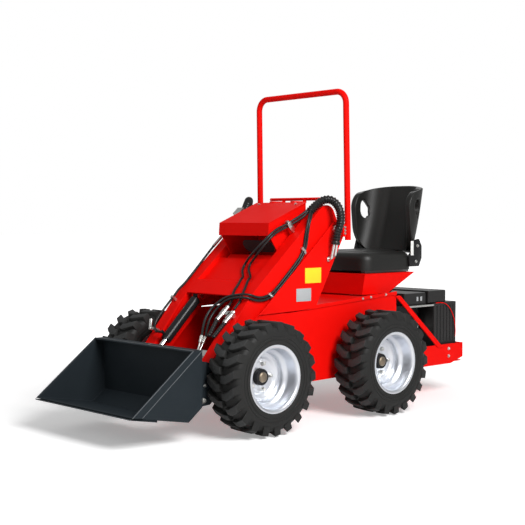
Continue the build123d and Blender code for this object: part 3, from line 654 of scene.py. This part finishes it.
def addTubeRings(shape, rows, radii, sides):
    rings = []
    for (place, along), radius in zip(rows, radii):
        turn = along.to_track_quat("Z", "X").to_matrix().to_4x4()
        made = bmesh.ops.create_circle(shape, cap_ends=False, segments=sides, radius=radius / 1000,
                                       matrix=Matrix.Translation(place) @ turn)
        rings.append(edgesOf(made["verts"]))
    for first, second in zip(rings, rings[1:]):
        bmesh.ops.bridge_loops(shape, edges=first + second)
    for ring in (rings[0], rings[-1]):
        bmesh.ops.contextual_create(shape, geom=ring)


def makeSleeves():
    shape = bmesh.new()
    ridge, groove = sleeveSet["ridge"], sleeveSet["groove"]
    for side in (1, -1):
        route = [spot(side * x, y, z) for x, y, z in sleeveSet["route"]]
        rows = evenSteps(smoothLine("sleeveLine", route), sleeveSet["pitch"] / 2000)
        radii = [ridge if i % 2 == 0 else groove for i in range(len(rows))]
        radii[0] = radii[1] = radii[-1] = radii[-2] = ridge  # plain cuffs
        addTubeRings(shape, rows, radii, sleeveSet["sides"])
    piece = meshObject("hoseSleeves", shape, None, materials["sleeveRubber"], sleeveSet["smooth"])
    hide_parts("hose_sleeves", "boom_hose_cuffs")
    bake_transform(piece)
    print("stage: sleeves")


# Couplers at the hoses' ends: swaged ferrule, sliding collar and nut, then a ribbed boot
couplerSet = {
    "places": (((212, -458, 633), (212, -536, 568), (216, -595, 488)),
               ((262, -463, 610), (262, -528, 555), (258, -603, 485))),
    "body": ((0, onAxis), (0, 9), (2, 12), (20, 12), (22, 10), (26, 10), (28, 15), (44, 15), (46, 13),
             (48, 13), (50, 15), (62, 15), (64, 12)),
    "nut": ((-14, 12), (-12, 13.5), (0, 13.5), (0, onAxis)),  # distances from the body's far end
    "sides": 24,
    "boot": (9.0, 11.0),
    "ribs": 7,
    "ribStart": (0, 2),
    "ribEnd": (-3, -1),
    "bootSides": 20,
    "elbow": (((-256, -603, 548), (-256, -608, 496)), ((-256, -614, 500), (-256, -548, 480))),
    "elbowRadius": 10,
    "elbowSides": 16,
    "smooth": 0.6,
    "bootSmooth": 0.8,
}


def makeCouplers():
    bodies, boots = bmesh.new(), bmesh.new()
    ribs, (low, high) = couplerSet["ribs"], couplerSet["boot"]
    (rise, crestStart), (crestEnd, fall) = couplerSet["ribStart"], couplerSet["ribEnd"]
    for head, tail, end in couplerSet["places"]:
        start, turn, stop = spot(*head), spot(*tail), spot(*end)
        length = (turn - start).length * 1000
        rows = [*couplerSet["body"], *((length + d, r) for d, r in couplerSet["nut"])]
        addTurned(bodies, start, turn, rows, couplerSet["sides"])
        reach = (stop - turn).length * 1000
        rows = [(0, onAxis)]
        for rib in range(ribs):
            first, last = reach * rib / ribs, reach * (rib + 1) / ribs
            rows += [(first + rise, low), (first + crestStart, high)]
            rows += [(last + crestEnd, high), (last + fall, low)]
        addTurned(boots, turn, stop, rows + [(reach, onAxis)], couplerSet["bootSides"])
    for first, last in couplerSet["elbow"]:
        start, stop = spot(*first), spot(*last)
        length, radius = (stop - start).length * 1000, couplerSet["elbowRadius"]
        rows = ((0, onAxis), (0, radius - 1), (2, radius), (length, radius), (length, onAxis))
        addTurned(bodies, start, stop, rows, couplerSet["elbowSides"])
    piece = meshObject("hoseCouplers", bodies, "boom", materials["pin_steel"], couplerSet["smooth"])
    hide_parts("couplers")
    meshObject("couplerBoots", boots, "boom", materials["hose_rubber"], couplerSet["bootSmooth"])
    print("stage: couplers")


# Seat: wrap-round back with hand-holes and a crowned cushion
backSet = {
    "half": 241.0, "corner": 172.0, "wall": 40.0,
    "lowZ": 876.0, "topZ": 1292.0, "lowRear": 1107.0, "topRear": 1215.0, "rearBulge": 10.0,
    "lowWing": 1004.0, "topWing": 962.0,
    "upperFrom": 0.66, "upperBack": 120.0, "lowerFrom": 0.42, "lowerBack": 120.0,  # the wings' rounded ends
    "topDrop": 26.0, "dropFrom": 0.55, "dropPower": 2.4,  # the top edge falls towards the wings
    "across": 96, "up": 44,
    "holeY": 1070.0, "holeZ": 1150.0, "holeWide": 36.0, "holeHigh": 58.0, "holeLean": 0.24, "rimWithin": 1.4,
    "wingsFrom": 0.15, "middleWithin": 0.03,
    "smooth": 1.3, "rounding": 1,
}


# A point of the back: along goes from the middle, 0, to the wing's front edge, 1, and t from foot to top
def seatPoint(side, along, t):
    bulge = backSet["rearBulge"] * math.sin(math.pi * t)
    rear = backSet["lowRear"] + (backSet["topRear"] - backSet["lowRear"]) * t + bulge
    wing = backSet["lowWing"] + (backSet["topWing"] - backSet["lowWing"]) * t
    upper = max(0.0, (t - backSet["upperFrom"]) / (1 - backSet["upperFrom"]))
    lower = max(0.0, (backSet["lowerFrom"] - t) / backSet["lowerFrom"])
    wing += backSet["upperBack"] * (1 - math.sqrt(1 - upper ** 2))
    wing += backSet["lowerBack"] * (1 - math.sqrt(1 - lower ** 2))
    half, corner = backSet["half"], backSet["corner"]
    flat, bend = half - corner, corner * math.pi / 2
    run = rear - corner - wing
    d = along * (flat + bend + run)
    if d < flat:
        x, y = d, rear
    elif d < flat + bend:
        angle = (d - flat) / corner
        x, y = flat + corner * math.sin(angle), rear - corner * (1 - math.cos(angle))
    else:
        x, y = half, rear - corner - (d - flat - bend)
    drop = max(0.0, t - backSet["dropFrom"]) / (1 - backSet["dropFrom"])
    z = backSet["lowZ"] + (backSet["topZ"] - backSet["lowZ"]) * t
    z -= backSet["topDrop"] * along ** backSet["dropPower"] * drop
    return spot(side * x, y, z)


def makeBackrest():
    shape = bmesh.new()
    bmesh.ops.create_grid(shape, x_segments=backSet["across"], y_segments=backSet["up"], size=1)
    for vert in shape.verts:
        side = 1 if vert.co.x >= 0 else -1
        vert.co = seatPoint(side, abs(vert.co.x), (vert.co.y + 1) / 2)
    lean = Matrix.Rotation(-backSet["holeLean"], 3, "X")
    centre = spot(0, backSet["holeY"], backSet["holeZ"])

    # Distance from the hand-hole's centre, where 1 is its rim
    def fromHole(place):
        off = lean @ Vector((0, place.y - centre.y, place.z - centre.z))
        return math.hypot(off.y * 1000 / backSet["holeWide"], off.z * 1000 / backSet["holeHigh"])

    def onWing(place):
        return abs(place.x) > backSet["wingsFrom"]

    middles = {face: face.calc_center_median() for face in shape.faces}
    cut = [face for face, place in middles.items() if onWing(place) and fromHole(place) < 1]
    bmesh.ops.delete(shape, geom=cut, context="FACES")
    for vert in shape.verts:
        if vert.is_boundary and onWing(vert.co) and fromHole(vert.co) < backSet["rimWithin"]:
            scale = 1 / fromHole(vert.co)
            vert.co.y = centre.y + (vert.co.y - centre.y) * scale
            vert.co.z = centre.z + (vert.co.z - centre.z) * scale
    bmesh.ops.recalc_face_normals(shape, faces=shape.faces)
    middle = next(f for f in shape.faces if abs(f.calc_center_median().x) < backSet["middleWithin"])
    if middle.normal.y < 0:
        bmesh.ops.reverse_faces(shape, faces=shape.faces)
    bmesh.ops.solidify(shape, geom=shape.faces[:] + shape.edges[:] + shape.verts[:],
                       thickness=backSet["wall"] / 1000)
    piece = meshObject("seatBack", shape, "machine", materials["seat_vinyl"], backSet["smooth"])
    rounding = piece.modifiers.new("roundOver", "SUBSURF")
    rounding.levels = rounding.render_levels = backSet["rounding"]
    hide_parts("seat_backrest")


cushionSet = {
    "half": 232, "front": 588, "rear": 1036, "low": 783, "top": 893,
    "cornerRound": 0.08, "cornerSegments": 6, "topRound": 0.05, "topSegments": 4,
    "seam": ((0.012, 0.0), (0.003, -0.003), (0.003, 0.003)),  # steps inwards and up or down
    "crown": 0.014,
    "crownSteps": ((0.82, 0.55), (0.72, 0.3), (0.5, 0.15)),  # width left, and share of the crown's height
    "smooth": 1.2,
}


# The cushion's upper face, which alone has more corners than a rounded edge's strips
def upperFace(shape):
    return max(shape.faces, key=lambda face: (len(face.verts) > 12, face.calc_center_median().z))


def makeCushion():
    shape = bmesh.new()
    low = spot(-cushionSet["half"], cushionSet["front"], cushionSet["low"])
    high = spot(cushionSet["half"], cushionSet["rear"], cushionSet["top"])
    bmesh.ops.create_cube(shape, size=1,
                          matrix=Matrix.Translation((low + high) / 2) @ Matrix.Diagonal((*(high - low), 1)))
    upright = [e for e in shape.edges if abs(e.verts[0].co.z - e.verts[1].co.z) > 0.01]
    bevelEdges(shape, upright, cushionSet["cornerRound"], cushionSet["cornerSegments"])
    bevelEdges(shape, list(upperFace(shape).edges), cushionSet["topRound"], cushionSet["topSegments"])
    for thickness, depth in cushionSet["seam"]:
        bmesh.ops.inset_region(shape, faces=[upperFace(shape)], thickness=thickness, depth=depth,
                               use_even_offset=True)
    for scale, rise in cushionSet["crownSteps"]:
        top = upperFace(shape)
        middle = top.calc_center_median()
        verts = list(bmesh.ops.extrude_discrete_faces(shape, faces=[top])["faces"][0].verts)
        bmesh.ops.scale(shape, vec=(scale, scale, 1), space=Matrix.Translation(-middle), verts=verts)
        bmesh.ops.translate(shape, vec=(0, 0, cushionSet["crown"] * rise), verts=verts)
    piece = meshObject("seatCushion", shape, "machine", materials["seat_vinyl"], cushionSet["smooth"])
    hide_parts("seat_cushion")
    print("stage: seat")


# Painted shade: a near-black plate stands in for the shaded opening of the slot under the hood's lip, on the
# console's slanted front: X of its ends, (Y, Z) of its lower and upper edge
slotShadeSet = {"ends": (-48, 196), "low": (-92.0, 907.0), "high": (-138.0, 973.0), "proud": 0.0015, "steps": 14}


def makeSlotShade():
    shape = bmesh.new()
    low, high = spot(0, *slotShadeSet["low"]), spot(0, *slotShadeSet["high"])
    middle, up = (low + high) / 2, (high - low).normalized()
    half = (high - low).length / 2
    outline = []
    for end, side in zip(slotShadeSet["ends"], (-1, 1)):
        centre = middle + Vector((end / 1000 - side * half, 0, 0))
        for i in range(slotShadeSet["steps"] + 1):
            turn = math.pi * (i / slotShadeSet["steps"] - 0.5)
            across = Vector((half * math.cos(turn), 0, 0))
            outline.append(centre + side * (across + up * half * math.sin(turn)))
    lifted = raiseFace(shape, [shape.verts.new(place) for place in outline])
    out = Vector((0, -up.z, up.y))  # square to the console's front
    bmesh.ops.translate(shape, vec=out * slotShadeSet["proud"], verts=lifted)
    meshObject("hoodSlotShade", shape, "machine", materials["slotShade"])


# Hinge plates that carry the seat's back, with a bar between them
hingeSet = {
    "outline": ((978, 800), (1066, 800), (1092, 850), (1092, 925), (1066, 968), (1026, 958), (1008, 900),
                (970, 862)),
    "inner": 226, "outer": 243, "edge": 0.003,
    "bar": (1064, 852), "barRadius": 12, "barSides": 20,
    "bolts": ((1050, 925), (1034, 830)), "boltSize": 0.008, "smooth": 0.6,
}


def makeHinges():
    shape = bmesh.new()
    inner, outer, radius = hingeSet["inner"], hingeSet["outer"], hingeSet["barRadius"]
    for side in (1, -1):
        lifted = raiseFace(shape, [shape.verts.new(spot(side * inner, y, z)) for y, z in hingeSet["outline"]])
        bmesh.ops.translate(shape, vec=(side * (outer - inner) / 1000, 0, 0), verts=lifted)
    bevelEdges(shape, shape.edges[:], hingeSet["edge"], 2)
    keepPlaces(shape)
    addTurned(shape, spot(-inner, *hingeSet["bar"]), spot(inner, *hingeSet["bar"]),
              ((0, radius), (2 * inner, radius)), hingeSet["barSides"])
    meshObject("seatHinges", shape, "machine", materials["black_paint"], hingeSet["smooth"])
    places = [(outer, y, z) for y, z in hingeSet["bolts"]]
    boltRow("hingeBolts", places, (1, 0, 0), hingeSet["boltSize"], "machine")


# Clamp plates over the hoses on the left arm, each with a bolt: place, length up the boom and across it
clampSet = {
    "plates": ((242, -31, 1047, 30, 56), (314.8, -2, 917, 13, 40), (314.8, -247, 683, 13, 36)),
    "slope": 0.717, "thick": 3, "edge": 0.001, "boltSize": 0.006,
}


def makeClampPlates():
    shape = bmesh.new()
    thick = clampSet["thick"]
    for x, y, z, along, across in clampSet["plates"]:
        turn = Matrix.Translation(spot(x, y, z)) @ Matrix.Rotation(clampSet["slope"], 4, "X")
        half = Vector((0, along, across)) / 2000
        addBlock(shape, -half, half + Vector((thick / 1000, 0, 0)), clampSet["edge"], turn)
    keepPlaces(shape)
    for x, y, z, along, across in clampSet["plates"]:
        addBolt(shape, spot(x + thick, y, z), Vector((1, 0, 0)), clampSet["boltSize"])
    meshObject("clampPlates", shape, "boom", materials["pin_steel"])


# Painted highlight: thin, rounded, lighter grey rods along the edges of the bucket's sides, brow and lip stand
# in for the light those edges catch
edgeHighlightSet = {
    "half": 414.0, "lip": (-1224.0, 168.0), "brow": (-859.0, 452.0), "front": (-1230.0, 163.0),
    "band": 58.8, "bandDrop": 4.0,
    "radius": 2.2, "tipRadius": 0.7, "tipLength": 0.4, "sides": 12,  # tips as shares of the radius
    "smooth": 0.8,
}


def makeBucketEdgeHighlights():
    shape = bmesh.new()
    lip, brow, front = edgeHighlightSet["lip"], edgeHighlightSet["brow"], edgeHighlightSet["front"]
    half, band, drop = edgeHighlightSet["half"], edgeHighlightSet["band"], edgeHighlightSet["bandDrop"]
    lines = [((-half, *brow), (half, *brow)), ((-half, *front), (half, *front))]
    for side in (1, -1):
        lines.append(((side * half, *lip), (side * half, *brow)))
        lines.append(((side * half, lip[0] + band, lip[1] - drop), (side * half, brow[0] + band, brow[1])))
    r = edgeHighlightSet["radius"]
    tip, taper = r * edgeHighlightSet["tipRadius"], r * edgeHighlightSet["tipLength"]
    for first, last in lines:
        start, stop = spot(*first), spot(*last)
        reach = (stop - start).length * 1000
        rows = ((0, onAxis), (0, tip), (taper, r), (reach - taper, r), (reach, tip), (reach, onAxis))
        addTurned(shape, start, stop, rows, edgeHighlightSet["sides"])
    meshObject("bucketEdgeHighlights", shape, "bucket", materials["edgeHighlight"], edgeHighlightSet["smooth"])


# Thin red lead over the rear box's side
leadSet = {
    "route": ((283, 1180, 570), (289, 1235, 574), (290, 1290, 556), (290, 1335, 510), (290, 1364, 450),
              (290, 1374, 380), (284, 1376, 350)),
    "radius": 2.6, "step": 0.008, "sides": 10, "smooth": 1.2,
}


def makeLead():
    shape = bmesh.new()
    route = [spot(*place) for place in leadSet["route"]]
    rows = evenSteps(smoothLine("leadLine", route), leadSet["step"])
    addTubeRings(shape, rows, [leadSet["radius"]] * len(rows), leadSet["sides"])
    meshObject("redLead", shape, "machine", materials["red_paint"], leadSet["smooth"])


# Small flat plates, labels and clips, left blank: finish, X of the face, then two corners in (Y, Z)
plateSet = {
    "toolBoxPlate": ("labelYellow", 328, (-10, 741), (114, 823)),
    "serialPlate": ("labelGrey", 328, (-76, 645), (36, 714)),
    "engineLabel": ("labelWhite", 190, (1036, 384), (1124, 466)),
    "coverClipFront": ("labelGrey", 270, (1010, 590), (1026, 616)),
    "coverClipRear": ("labelGrey", 270, (1046, 590), (1062, 616)),
    "seatTag": ("labelWhite", 244, (984, 868), (1010, 955)),
}
plateThick = 1.2
plateEdge = 0.0004


def makePlates():
    for name, (look, x, low, high) in plateSet.items():
        shape = bmesh.new()
        addBlock(shape, spot(x, *low), spot(x + plateThick, *high), plateEdge)
        meshObject(name, shape, "machine", materials[look])


# Rows of bolts: places, the way they point, size in metres, body
earPlaces = ((350, -701, 311), (350, -731, 266), (350, -679, 262), (350, -672, 238), (350, -701, 212),
             (350, -735, 190))
boltSets = {
    "earBolts": (earPlaces, (1, 0, 0), 0.009, "bucket"),
    "earBoltsRight": ([(-x, y, z) for x, y, z in earPlaces], (-1, 0, 0), 0.009, "bucket"),
    "hoodBolts": (((150, 96, 1170.5), (-150, 96, 1170.5)), (0, -0.375, 0.927), 0.007, "machine"),
    "hoopBolts": (((355, 277, 1042), (355, 277, 1008), (355, 277, 1025)), (1, 0, 0), 0.006, "machine"),
    "tailBolts": (((320, 1263, 286), (320, 1263, 240), (320, 900, 255), (320, 1000, 255)), (1, 0, 0), 0.008,
                  "machine"),
    "lipBolts": (((326, 459, 636), (326, 528, 641), (326, 659, 650)), (1, 0, 0), 0.006, "machine"),
}


def makeBolts():
    for name, row in boltSets.items():
        boltRow(name, *row)
    print("stage: bolts and plates")


makeCamera()
makeLights()
materials = {key: finishMaterial(*row) for key, row in materialSet.items()}
dressNodes()
makeFloor()
print("stage: camera, light, floor and materials")
makeWheels()
makeSleeves()
makeCouplers()
makeBackrest()
makeCushion()
makeSlotShade()
makeHinges()
makeClampPlates()
makeBucketEdgeHighlights()
makeLead()
makePlates()
makeBolts()
